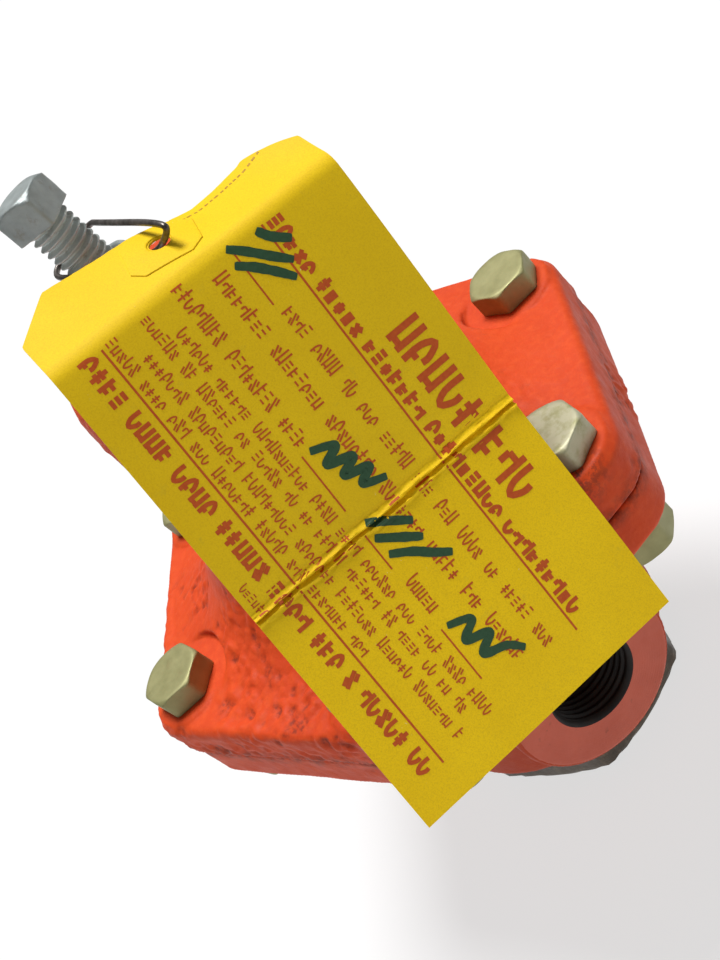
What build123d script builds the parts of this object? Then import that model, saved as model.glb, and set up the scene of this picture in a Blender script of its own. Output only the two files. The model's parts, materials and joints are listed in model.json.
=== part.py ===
from build123d import *

import math
import os

# Direct-acting pressure reducing valve for half-inch pipe, with its instruction tag.
# Millimetres. Z runs up the adjusting screw, X along the pipe, and the origin is the
# centre of the bottom plug's underside.

RUN = 0.05  # radial clearance of a running fit
TURN = 360.0

# Threads by their nominal outside diameters: 3/8 inch UNC, 1/2 inch NPT.
SCREW_R = 9.525 / 2
PIPE_R = 21.34 / 2

# Bottom plug
PLUG_HEX_AF = 55.6
PLUG_HEX_H = 14.0
PLUG_TURN = 9.0
PLUG_THREAD_R = 19.05
PLUG_THREAD_TOP = 25.2
PLUG_GUIDE_R = 13.0
PLUG_GUIDE_TOP = 31.0
PLUG_BORE_Z = 16.0
PLUG_POCKET_Z = 6.0
PLUG_GASKET_R = 26.8
PLUG_GASKET_T = 0.8

# Body
BODY_Z0 = PLUG_HEX_H + PLUG_GASKET_T
BARREL_R = 34.5
BARREL_TOP = 58.0
BARREL_CHAMFER = 1.5
NECK_R = 46.0
PORT_Z = 38.9
PORT_FACE_X = 41.5
PORT_BOSS_R = 21.7
PORT_BOSS_FILLET = 1.2
PORT_THREAD_L = 13.5
PORT_CHAMFER = 0.5
WEB_Z0 = 46.0
WEB_Z1 = 51.0
INLET_PASSAGE_R = 6.9
INLET_CAVITY_Z = 26.0
INLET_CAVITY_R = 17.5
OUTLET_CAVITY_R = 24.0
OUTLET_CAVITY_Z = 62.0
DISH_Z0 = 74.0
DISH_Z1 = 76.0

# Flanged joint
BOLT_COUNT = 6
BOLT_CIRCLE_R = 57.15
BOLT_HOLE_R = 5.2
CORNER_R = 11.1
FLANGE_Z0 = 70.3
NECK_TOP = FLANGE_Z0 + 0.4
BODY_FLANGE_INSET = 0.6
SHEET_INSET = 1.6
BODY_FLANGE_FILLET = 1.6
CHAMBER_FLANGE_FILLET = 2.2
BODY_TOP = 81.0
GASKET_T = 0.6
DIAPHRAGM_T = 0.3
DIAPHRAGM_Z = BODY_TOP + GASKET_T
CHAMBER_Z0 = DIAPHRAGM_Z + DIAPHRAGM_T
FLANGE_TOP = 92.2
SPOT_Z = 92.9
SPOT_R = 12.6
DIAPHRAGM_FREE_R = 42.0

# Bolts and nuts
HEX_AF = 14.29
HEAD_H = 6.2
NUT_H = 8.33
HEX_CHAMFER = 30.0
BOLT_END_Z = 60.2
HEAD_TURNS = (52.0, 20.0, 8.0, 33.0, 14.0, 41.0)
NUT_TURNS = (12.0, 37.0, 5.0, 50.0, 22.0, 30.0)

# Spring chamber
BOSS_R = 11.0
BOSS_TOP = 162.1
BOSS_CHAMFER = 0.5
FLARE_R = 58.0
FLARE_Z = FLANGE_TOP - 0.2
NECK_END = (26.5, 144.0)
SHOULDER_END = (12.6, 159.4)
PAD_Z0 = 90.0
SPRING_BORE_R = 19.5
SPRING_BORE_TOP = 152.0

# Adjusting screw and lock nut
SCREW_TIP_Z = 134.0
SCREW_HEAD_Z0 = 180.7
SCREW_HEAD_Z1 = 187.7
SCREW_HEAD_AF = 9.4
SCREW_HEAD_TURN = 49.0
LOCK_NUT_H = 5.56
LOCK_NUT_AF = 14.29
LOCK_NUT_TURN = 10.0
TIP_CHAMFER = 1.2
SCREW_HEAD_CHAMFER = 1.1

# Spring and its seats
BUTTON_R = 15.0
BUTTON_Z0 = 127.0
BUTTON_T = 4.0
BUTTON_PILOT_R = 9.0
BUTTON_HUB_R = 8.0
PLATE_R = 30.0
PLATE_T = 4.0
PLATE_Z0 = CHAMBER_Z0 + 0.02
SPRING_WIRE = 3.4
SPRING_MEAN_R = 12.2
SPRING_TURNS = 5

# Inner valve, drawn open by VALVE_OPEN
VALVE_OPEN = 1.5
SEAT_FACE_Z = 43.5
SEAT_BORE_R = 6.35
SEAT_THREAD_R = 11.0
DISC_TOP_Z = SEAT_FACE_Z - VALVE_OPEN
DISC_R = 8.6
DISC_T = 3.2
PISTON_R = 9.9
PISTON_Z0 = 20.0
PISTON_POCKET_H = 8.0
DISC_SCREW_HEAD_H = 1.8
POST_R = 3.5
POST_PLATE_R = 14.0
PISTON_SPRING_WIRE = 1.4
PISTON_SPRING_R = 5.6
PISTON_SPRING_TURNS = 6

# Tag: a card folded once, its fold line and its main panel's own directions
CARD_T = 0.45
CARD_W = 60.3
PANEL_L = 101.0
HEADER_L = 18.6
HEADER_FOLD = 57.0
CORNER_CLIP = 9.0
FOLD_MID = Vector(35.4, 9.2, 166.6)
ACROSS = Vector(-0.017, 0.976, -0.218)
DOWN = Vector(0.3586, -0.1976, -0.9123)
HOLE_R = 2.8
HOLE_FROM_FOLD = 9.2
PATCH_T = 0.25
PATCH_HALF = 8.0
PATCH_CLIP = 3.4
PATCH_HOLE_R = 3.05
DRILL_L = 4.0

# Tag wire
WIRE_R = 0.6
LOOP_R = 5.9
LOOP_Z = 172.6
LOOP_BEND = 4.6
HOOK_BEND = 1.1
RETURN_BEND = 3.0


def save(shape, node):
    export_step(shape, f"parts/{node}.step")


def rod(radius, z0, z1):
    return Pos(0, 0, z0) * Cylinder(radius, z1 - z0, align=(Align.CENTER, Align.CENTER, Align.MIN))


def ring(outer, inner, z0, z1):
    return rod(outer, z0, z1) - rod(inner, z0, z1)


def hex_prism(across_flats, z0, z1, turn=0.0):
    outline = RegularPolygon(across_flats / 2, 6, major_radius=False)
    return Pos(0, 0, z0) * Rot(0, 0, turn) * extrude(outline, z1 - z0)


def chamfered_hex(across_flats, z0, z1, turn, bottom=True):
    """A hexagon whose corners are turned off above, and below as well if bottom is true."""
    flat_r = across_flats / 2
    corner_r = across_flats / math.sqrt(3)
    drop = (corner_r - flat_r) * math.tan(math.radians(HEX_CHAMFER))
    underside = [(flat_r, z0), (corner_r, z0 + drop)] if bottom else [(corner_r, z0)]
    profile = Polyline((0, z0), *underside, (corner_r, z1 - drop), (flat_r, z1), (0, z1), close=True)
    return hex_prism(across_flats, z0, z1, turn) & turned(profile)


def turned(outline):
    """Solid of revolution about Z from a closed outline of (radius, height)."""
    return revolve(Plane.XZ * make_face(outline), Axis.Z)


def bolt_angles():
    return [30.0 + k * TURN / BOLT_COUNT for k in range(BOLT_COUNT)]


def at_bolts(make):
    """One solid from make(k) at each bolt's place."""
    placed = []
    for k, angle in enumerate(bolt_angles()):
        place = Rot(0, 0, angle) * Pos(BOLT_CIRCLE_R, 0, 0) * Rot(0, 0, -angle)
        placed.append(place * make(k))
    return placed


def group(solids, label):
    return Compound(children=[s.solid() for s in solids], label=label)


def flange_outline(corner_r):
    apothem = BOLT_CIRCLE_R * math.cos(math.radians(30)) + corner_r
    outline = RegularPolygon(apothem, 6, major_radius=False, rotation=30)
    return fillet(outline.vertices(), corner_r)


def flange_slab(corner_r, z0, z1):
    return Pos(0, 0, z0) * extrude(flange_outline(corner_r), z1 - z0)


def drill_bolt_holes(shape, z0, z1):
    for hole in at_bolts(lambda k: rod(BOLT_HOLE_R, z0 - 1, z1 + 1)):
        shape -= hole
    return shape


def along_x(radius, x0, x1, z):
    return Pos(x0, 0, z) * Rot(0, 90, 0) * Cylinder(
        radius, x1 - x0, align=(Align.CENTER, Align.CENTER, Align.MIN)
    )


def body():
    neck = Bezier((BARREL_R, BARREL_TOP), (BARREL_R, 65.5), (40.0, 68.5), (NECK_R, NECK_TOP))
    outline = neck + Polyline(
        (NECK_R, NECK_TOP), (0, NECK_TOP), (0, BODY_Z0), (BARREL_R - BARREL_CHAMFER, BODY_Z0),
        (BARREL_R, BODY_Z0 + BARREL_CHAMFER), (BARREL_R, BARREL_TOP),
    )
    barrel = turned(outline)
    bosses = along_x(PORT_BOSS_R, -PORT_FACE_X, PORT_FACE_X, PORT_Z)
    bosses = fillet(bosses.edges().filter_by(GeomType.CIRCLE), PORT_BOSS_FILLET)
    slab = flange_slab(CORNER_R - BODY_FLANGE_INSET, FLANGE_Z0, BODY_TOP)
    slab = fillet(slab.faces().sort_by(Axis.Z)[0].outer_wire().edges(), BODY_FLANGE_FILLET)
    shape = barrel + bosses + slab
    return drill_bolt_holes(shape - body_passages(), FLANGE_Z0, BODY_TOP)


def body_passages():
    """Everything the body is hollow of: two ports, two passages, two cavities."""
    seat_thread = rod(SEAT_THREAD_R, WEB_Z0 - 1, WEB_Z1 + 1)
    lower = rod(PLUG_THREAD_R + 0.02, BODY_Z0 - 1, INLET_CAVITY_Z + 1)
    lower += rod(INLET_CAVITY_R, INLET_CAVITY_Z, WEB_Z0)
    upper = turned(Polyline(
        (0, WEB_Z1), (OUTLET_CAVITY_R, WEB_Z1), (OUTLET_CAVITY_R, OUTLET_CAVITY_Z),
        (DIAPHRAGM_FREE_R - 3, DISH_Z0), (DIAPHRAGM_FREE_R, DISH_Z1),
        (DIAPHRAGM_FREE_R, BODY_TOP + 1), (0, BODY_TOP + 1), close=True,
    ))
    thread_x = PORT_FACE_X - PORT_CHAMFER - PORT_THREAD_L
    inlet = along_x(INLET_PASSAGE_R, -thread_x - 1, -10.0, PORT_Z)
    outlet = Pos(24.75, 0, 45.0) * Box(6.5, 16.0, 22.0)
    hollow = seat_thread + lower + upper + inlet + outlet
    for side in (-1, 1):
        start = min(side * thread_x, side * (PORT_FACE_X + 1))
        hollow += along_x(PIPE_R, start, start + PORT_THREAD_L + PORT_CHAMFER + 1, PORT_Z)
        mouth = Cone(PIPE_R, PIPE_R + 2 * PORT_CHAMFER, 2 * PORT_CHAMFER)
        hollow += Pos(side * PORT_FACE_X, 0, PORT_Z) * Rot(0, side * 90, 0) * mouth
    return hollow


def spring_chamber():
    flange = flange_slab(CORNER_R, CHAMBER_Z0, FLANGE_TOP)
    flange = fillet(flange.faces().sort_by(Axis.Z)[-1].outer_wire().edges(), CHAMBER_FLANGE_FILLET)
    flare = Bezier((FLARE_R, FLARE_Z), (36.0, 95.2), (29.5, 104.0), NECK_END)
    shoulder = Bezier(NECK_END, (25.2, 151.0), (24.6, 158.9), SHOULDER_END)
    outline = flare + shoulder + Polyline(
        SHOULDER_END, (BOSS_R, 160.2), (BOSS_R, BOSS_TOP - BOSS_CHAMFER),
        (BOSS_R - BOSS_CHAMFER, BOSS_TOP), (0, BOSS_TOP), (0, PAD_Z0), (FLARE_R, PAD_Z0),
        (FLARE_R, FLARE_Z),
    )
    shape = flange + turned(outline)
    for pad in at_bolts(lambda k: rod(CORNER_R - 1.2, PAD_Z0, SPOT_Z)):
        shape += pad
    for spot in at_bolts(lambda k: rod(SPOT_R, SPOT_Z, 110.0)):
        shape -= spot
    hollow = turned(Polyline(
        (0, CHAMBER_Z0 - 1), (DIAPHRAGM_FREE_R, CHAMBER_Z0 - 1), (DIAPHRAGM_FREE_R, 85.0),
        (36.0, 89.0), (28.0, 104.0), (22.5, 120.0), (SPRING_BORE_R, 138.0),
        (SPRING_BORE_R, 146.0), (13.0, SPRING_BORE_TOP), (0, SPRING_BORE_TOP), close=True,
    ))
    shape = shape - hollow - rod(SCREW_R + RUN, SPRING_BORE_TOP - 1, BOSS_TOP + 1)
    return drill_bolt_holes(shape, CHAMBER_Z0, SPOT_Z)


def diaphragm():
    sheet = flange_slab(CORNER_R - SHEET_INSET, DIAPHRAGM_Z, CHAMBER_Z0)
    return drill_bolt_holes(sheet, DIAPHRAGM_Z, CHAMBER_Z0)


def diaphragm_gasket():
    sheet = flange_slab(CORNER_R - SHEET_INSET, BODY_TOP, DIAPHRAGM_Z)
    sheet -= rod(DIAPHRAGM_FREE_R, BODY_TOP - 1, DIAPHRAGM_Z + 1)
    return drill_bolt_holes(sheet, BODY_TOP, DIAPHRAGM_Z)


def flange_bolt(k):
    head = chamfered_hex(HEX_AF, SPOT_Z, SPOT_Z + HEAD_H, HEAD_TURNS[k], bottom=False)
    return head + rod(SCREW_R, BOLT_END_Z, SPOT_Z + 1)


def flange_nut(k):
    nut = chamfered_hex(HEX_AF, FLANGE_Z0 - NUT_H, FLANGE_Z0, NUT_TURNS[k])
    return nut - rod(SCREW_R + RUN, FLANGE_Z0 - NUT_H - 1, FLANGE_Z0 + 1)


def bottom_plug():
    corner_r = PLUG_HEX_AF / math.sqrt(3)
    shape = hex_prism(PLUG_HEX_AF, 0, PLUG_HEX_H, PLUG_TURN + 30)
    shape &= turned(Polyline(
        (0, 0), (PLUG_HEX_AF / 2 - 0.6, 0), (corner_r, 2.4), (corner_r, PLUG_HEX_H - 1.6),
        (PLUG_HEX_AF / 2 - 0.2, PLUG_HEX_H), (0, PLUG_HEX_H), close=True,
    ))
    shape += rod(PLUG_THREAD_R, PLUG_HEX_H - 1, PLUG_THREAD_TOP)
    shape += rod(PLUG_GUIDE_R, PLUG_THREAD_TOP - 1, PLUG_GUIDE_TOP)
    shape -= rod(PISTON_R + RUN, PLUG_BORE_Z, PLUG_GUIDE_TOP + 1)
    return shape - rod(PISTON_SPRING_R + 1.8, PLUG_POCKET_Z, PLUG_BORE_Z + 1)


def plug_gasket():
    return ring(PLUG_GASKET_R, PLUG_THREAD_R + 0.3, PLUG_HEX_H, BODY_Z0)


def strainer_screen():
    outer, inner = 16.2, 15.6
    z0, z1 = PLUG_THREAD_TOP, WEB_Z0
    shape = ring(outer, inner, z0, z1)
    slots = 12
    for k in range(slots):
        shape -= Rot(0, 0, k * TURN / slots) * Pos(inner, 0, (z0 + z1) / 2) * Box(4, 2.2, z1 - z0 - 6)
    return shape


def seat_ring():
    shape = rod(SEAT_THREAD_R, SEAT_FACE_Z + 1.5, WEB_Z1 + 0.5)
    shape += rod(SEAT_BORE_R + 1.3, SEAT_FACE_Z, SEAT_FACE_Z + 2)
    shape += chamfered_hex(28.6, WEB_Z1 + 0.5, WEB_Z1 + 5.5, 0, bottom=False)
    return shape - rod(SEAT_BORE_R, SEAT_FACE_Z - 1, WEB_Z1 + 6)


def seat_gasket():
    return ring(14.0, SEAT_THREAD_R + 0.1, WEB_Z1, WEB_Z1 + 0.5)


def piston():
    rim_z = DISC_TOP_Z - 1.4
    shape = rod(PISTON_R, PISTON_Z0, rim_z)
    shape -= rod(DISC_R + 0.05, DISC_TOP_Z - DISC_T, rim_z + 1)
    shape -= rod(PISTON_SPRING_R + 1.6, PISTON_Z0 - 1, PISTON_Z0 + PISTON_POCKET_H)
    return shape - rod(1.6, PISTON_Z0, rim_z)


def seat_disc():
    return ring(DISC_R, 1.7, DISC_TOP_Z - DISC_T, DISC_TOP_Z)


def disc_screw():
    head = rod(3.6, DISC_TOP_Z, DISC_TOP_Z + DISC_SCREW_HEAD_H)
    return head + rod(1.55, PISTON_Z0 + 10, DISC_TOP_Z + 1)


def pusher_post():
    low = DISC_TOP_Z + DISC_SCREW_HEAD_H
    shape = rod(POST_R, low, DIAPHRAGM_Z - 3)
    return shape + rod(POST_PLATE_R, DIAPHRAGM_Z - 4, DIAPHRAGM_Z - 0.02)


def pressure_plate():
    shape = rod(PLATE_R, PLATE_Z0, PLATE_Z0 + PLATE_T)
    shape = fillet(shape.edges().sort_by(Axis.Z)[-1], 1.5)
    return shape + rod(SPRING_MEAN_R - SPRING_WIRE / 2 - 0.6, PLATE_Z0 + PLATE_T - 1, PLATE_Z0 + 9)


def spring_button():
    shape = rod(BUTTON_R, BUTTON_Z0, BUTTON_Z0 + BUTTON_T)
    shape += rod(BUTTON_PILOT_R, BUTTON_Z0 - 5, BUTTON_Z0 + 1)
    shape += rod(BUTTON_HUB_R, BUTTON_Z0 + 3, BUTTON_Z0 + 9)
    return shape - rod(SCREW_R + RUN, SCREW_TIP_Z, BUTTON_Z0 + 10)


def coil(mean_r, wire, z0, z1, turns):
    """A round-wire helix that stands between two seats."""
    height = z1 - z0 - wire
    path = Helix(height / turns, height, mean_r)
    section = Plane(origin=path @ 0, z_dir=path % 0) * Circle(wire / 2)
    return Pos(0, 0, z0 + wire / 2) * sweep(section, path)


def adjusting_screw():
    half = SCREW_HEAD_AF / 2
    head = Rot(0, 0, SCREW_HEAD_TURN) * Pos(0, 0, SCREW_HEAD_Z0) * Box(
        2 * half, 2 * half, SCREW_HEAD_Z1 - SCREW_HEAD_Z0,
        align=(Align.CENTER, Align.CENTER, Align.MIN),
    )
    corner = half * math.sqrt(2)
    head &= turned(Polyline(
        (0, SCREW_HEAD_Z0), (corner - 0.3, SCREW_HEAD_Z0),
        (corner - 0.3, SCREW_HEAD_Z1 - SCREW_HEAD_CHAMFER), (half, SCREW_HEAD_Z1),
        (0, SCREW_HEAD_Z1), close=True,
    ))
    shank = turned(Polyline(
        (0, SCREW_TIP_Z), (SCREW_R - TIP_CHAMFER, SCREW_TIP_Z), (SCREW_R, SCREW_TIP_Z + TIP_CHAMFER),
        (SCREW_R, SCREW_HEAD_Z0 + 1), (0, SCREW_HEAD_Z0 + 1), close=True,
    ))
    return head + shank


def lock_nut():
    nut = chamfered_hex(LOCK_NUT_AF, BOSS_TOP, BOSS_TOP + LOCK_NUT_H, LOCK_NUT_TURN)
    return nut - rod(SCREW_R + RUN, BOSS_TOP - 1, BOSS_TOP + LOCK_NUT_H + 1)


def panel_place():
    """On the fold: x across the card, y up its main panel, z out of its front."""
    return Plane(origin=FOLD_MID, x_dir=ACROSS, z_dir=DOWN.cross(ACROSS)).location


def header_place():
    """The same, turned in at the fold: y runs from the fold to the header's far edge."""
    return panel_place() * Rot(-HEADER_FOLD, 0, 0)


def card():
    """Main panel and header, each CARD_T thick, joined by a rounded fold."""
    front = panel_place()
    half = CARD_W / 2
    panel = front * Pos(0, -PANEL_L / 2, -CARD_T / 2) * Box(CARD_W, PANEL_L, CARD_T)
    outline = Polyline(
        (-half, 0), (half, 0), (half, HEADER_L - CORNER_CLIP), (half - CORNER_CLIP, HEADER_L),
        (CORNER_CLIP - half, HEADER_L), (-half, HEADER_L - CORNER_CLIP), close=True,
    )
    top = header_place()
    header = top * Pos(0, 0, -CARD_T) * extrude(make_face(outline), CARD_T)
    fold = front * Pos(0, 0, -CARD_T) * Rot(0, 90, 0) * Cylinder(CARD_T, CARD_W)
    hole = top * Pos(0, HOLE_FROM_FOLD, 0) * Cylinder(HOLE_R, DRILL_L)
    return panel + header + fold - hole


def tag_patch():
    reach = PATCH_HALF
    clip = PATCH_CLIP
    outline = Polyline(
        (reach, clip - reach), (reach, reach - clip), (reach - clip, reach), (clip - reach, reach),
        (-reach, reach - clip), (-reach, clip - reach), (clip - reach, -reach), (reach - clip, -reach),
        close=True,
    )
    place = header_place() * Pos(0, HOLE_FROM_FOLD, 0)
    return place * extrude(make_face(outline), PATCH_T) - place * Cylinder(PATCH_HOLE_R, DRILL_L)


def tag_wire():
    """One stiff wire: round the screw, over the header, down its hole and back beneath."""
    top = Plane(header_place())

    def on_header(across, up, height):
        return top.from_local_coords(Vector(across, up, height))

    route = [
        Vector(-LOOP_R, 0, LOOP_Z), Vector(-LOOP_R, LOOP_R, LOOP_Z + 0.3),
        Vector(1.0, LOOP_R + 0.3, LOOP_Z + 1.0), on_header(1.4, HOLE_FROM_FOLD - 4.2, 4.6),
        on_header(1.6, HOLE_FROM_FOLD - 3.2, 1.9), on_header(-0.8, HOLE_FROM_FOLD + 2.4, -2.9),
        Vector(1.0, -LOOP_R - 0.3, LOOP_Z - 1.2), Vector(-LOOP_R, -LOOP_R, LOOP_Z - 0.4),
        Vector(-LOOP_R, -0.5, LOOP_Z),
    ]
    radii = [LOOP_BEND, LOOP_BEND, HOOK_BEND, HOOK_BEND, RETURN_BEND, LOOP_BEND, LOOP_BEND]
    path = FilletPolyline(*route, radius=radii)
    section = Plane(origin=path @ 0, z_dir=path % 0) * Circle(WIRE_R)
    return sweep(section, path)


def main():
    os.makedirs("parts", exist_ok=True)
    save(body(), "body")
    save(spring_chamber(), "spring_chamber")
    save(diaphragm(), "diaphragm")
    save(diaphragm_gasket(), "diaphragm_gasket")
    save(group(at_bolts(flange_bolt), "flange_bolts"), "flange_bolts")
    save(group(at_bolts(flange_nut), "flange_nuts"), "flange_nuts")
    save(bottom_plug(), "bottom_plug")
    save(plug_gasket(), "plug_gasket")
    save(strainer_screen(), "strainer_screen")
    save(seat_ring(), "seat_ring")
    save(seat_gasket(), "seat_gasket")
    save(piston(), "piston")
    save(seat_disc(), "seat_disc")
    save(disc_screw(), "disc_screw")
    save(pusher_post(), "pusher_post")
    save(pressure_plate(), "pressure_plate")
    save(spring_button(), "spring_button")
    spring = coil(SPRING_MEAN_R, SPRING_WIRE, PLATE_Z0 + PLATE_T, BUTTON_Z0, SPRING_TURNS)
    save(spring, "pressure_spring")
    pocket_top = PISTON_Z0 + PISTON_POCKET_H
    spring = coil(PISTON_SPRING_R, PISTON_SPRING_WIRE, PLUG_POCKET_Z, pocket_top, PISTON_SPRING_TURNS)
    save(spring, "piston_spring")
    save(adjusting_screw(), "adjusting_screw")
    save(lock_nut(), "lock_nut")
    save(card(), "instruction_tag")
    save(tag_patch(), "tag_patch")
    save(tag_wire(), "tag_wire")


main()
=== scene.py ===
import json
import math
import random

import bmesh
import bpy
import numpy as np
from mathutils import Matrix, Vector, noise


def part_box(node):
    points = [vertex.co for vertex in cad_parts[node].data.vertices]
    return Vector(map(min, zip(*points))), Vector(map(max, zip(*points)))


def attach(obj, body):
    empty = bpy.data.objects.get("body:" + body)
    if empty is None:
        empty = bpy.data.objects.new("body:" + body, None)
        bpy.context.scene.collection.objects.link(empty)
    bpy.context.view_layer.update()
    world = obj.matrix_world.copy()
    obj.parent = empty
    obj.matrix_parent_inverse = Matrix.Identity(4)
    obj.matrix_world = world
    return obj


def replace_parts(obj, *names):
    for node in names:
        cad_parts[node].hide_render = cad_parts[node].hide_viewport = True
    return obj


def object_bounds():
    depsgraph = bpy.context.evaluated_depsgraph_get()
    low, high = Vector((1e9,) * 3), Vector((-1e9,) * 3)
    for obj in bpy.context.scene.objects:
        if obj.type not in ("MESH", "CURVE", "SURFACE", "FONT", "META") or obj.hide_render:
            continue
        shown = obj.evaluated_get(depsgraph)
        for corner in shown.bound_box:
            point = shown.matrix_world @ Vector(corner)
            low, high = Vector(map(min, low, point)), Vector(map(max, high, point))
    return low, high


# Looks of a pressure reducing valve. Lengths written with MM are millimetres, +Z up the
# adjusting screw, +X out of the outlet port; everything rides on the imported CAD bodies.

MM = 0.001
TAU = 2 * math.pi

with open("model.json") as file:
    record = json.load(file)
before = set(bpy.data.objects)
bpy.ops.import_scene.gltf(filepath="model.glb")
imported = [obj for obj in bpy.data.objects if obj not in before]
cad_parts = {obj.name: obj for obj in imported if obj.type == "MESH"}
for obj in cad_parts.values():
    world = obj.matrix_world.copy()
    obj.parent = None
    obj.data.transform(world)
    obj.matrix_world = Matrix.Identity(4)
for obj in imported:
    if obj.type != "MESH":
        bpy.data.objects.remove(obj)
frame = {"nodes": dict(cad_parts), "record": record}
cad_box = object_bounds()


# ---------------- sizes read from the frame

def box_mm(node):
    low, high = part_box(node)
    return [c / MM for c in low], [c / MM for c in high]


def solids_mm(node):
    """Corners of each separate solid of a node, in millimetres."""
    bm = bmesh.new()
    bm.from_mesh(frame["nodes"][node].data)
    bmesh.ops.remove_doubles(bm, verts=bm.verts, dist=1e-6)
    left = set(bm.verts)
    boxes = []
    while left:
        seen = {left.pop()}
        stack = list(seen)
        while stack:
            for edge in stack.pop().link_edges:
                for v in edge.verts:
                    if v not in seen:
                        seen.add(v)
                        stack.append(v)
        left -= seen
        pts = np.array([v.co for v in seen]) / MM
        boxes.append((pts.min(0), pts.max(0)))
    bm.free()
    return sorted(boxes, key=lambda b: math.atan2(*(b[0] + b[1])[1::-1]))


BODY_LOW, BODY_HIGH = box_mm("body")
CHAMBER_LOW, CHAMBER_HIGH = box_mm("spring_chamber")
SCREW_LOW, SCREW_HIGH = box_mm("adjusting_screw")
PLUG_GUIDE_TOP = box_mm("bottom_plug")[1][2]
NUT_LOW, NUT_HIGH = box_mm("lock_nut")
PORT = next(m for m in frame["record"]["mounts"] if m["name"] == "outlet")
PORT_X = PORT["pos_m"][0] / MM
PORT_Z = PORT["pos_m"][2] / MM
PORT_R = PORT["dims"]["r_mm"]
PORT_LENGTH = PORT["dims"]["length_mm"]
BOLT_BOXES = solids_mm("flange_bolts")
FLANGE_NUT_BOXES = solids_mm("flange_nuts")

# Standard threads and wrench sizes, in millimetres
SCREW_R = 9.525 / 2
SCREW_PITCH = 25.4 / 16
THREAD_DEPTH = 0.6134 * SCREW_PITCH
HEX_AF = 14.29
BOLT_HEAD_H = 6.2
SCREW_HEAD_AF = 9.4
SCREW_HEAD_H = 7.0
SCREW_HEAD_TURN = math.radians(49)
PLUG_AF = 55.6
PLUG_HEX_H = 14.0
PLUG_TURN = math.radians(9)
PLUG_THREAD_R = 19.0
PLUG_THREAD_TOP = 25.2
PLUG_GUIDE_R = 13.0
PLUG_THREAD_PITCH = 2.1
PLUG_THREAD_DEPTH = 1.2
# The plug's guide bore takes the piston, and the pocket under it the piston's spring
PLUG_BORE_R = 9.95
PLUG_BORE_Z = 16.0
PLUG_POCKET_R = 7.4
PLUG_POCKET_Z = 6.0
PIPE_PITCH = 25.4 / 14
# Bolts and nuts are in the order of their angle round the axis, from -180 degrees
HEAD_TURNS = (33.0, 14.0, 41.0, 52.0, 20.0, 8.0)
NUT_TURNS = (50.0, 22.0, 30.0, 12.0, 37.0, 5.0)
LOCK_NUT_TURN = 10.0
HEX_FACE_TURN = 30.0
NUT_HOLE_R = SCREW_R + 0.03
PORT_BOSS_R = 21.7
PORT_MOUTH = PORT_X + 0.5
CAST_VOXEL = 0.6
# Inside this radius the castings' inward faces are bare iron
INSIDE_R = 44.0
# A place on the flange top close to the tag card's edge, where the enamel gets painted shade
CARD_EDGE_SHADE_SPOT = (56.4, 25.6, 92.5)
# The head beside the tag's crease has lost most of its plating
WORN_BOLT = 3
SPOT_R = 12.6
SPOT_Z = BOLT_BOXES[0][1][2] - BOLT_HEAD_H
# Body and slot of the pieces that come in numbers
IRON = ("valve_body", "painted_iron")
BOLTS = ("valve_body", "plated_bolt")
PLUG = ("valve_body", "dark_iron")
CARD = ("tag", "tag_card")


# ---------------- node materials

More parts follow.
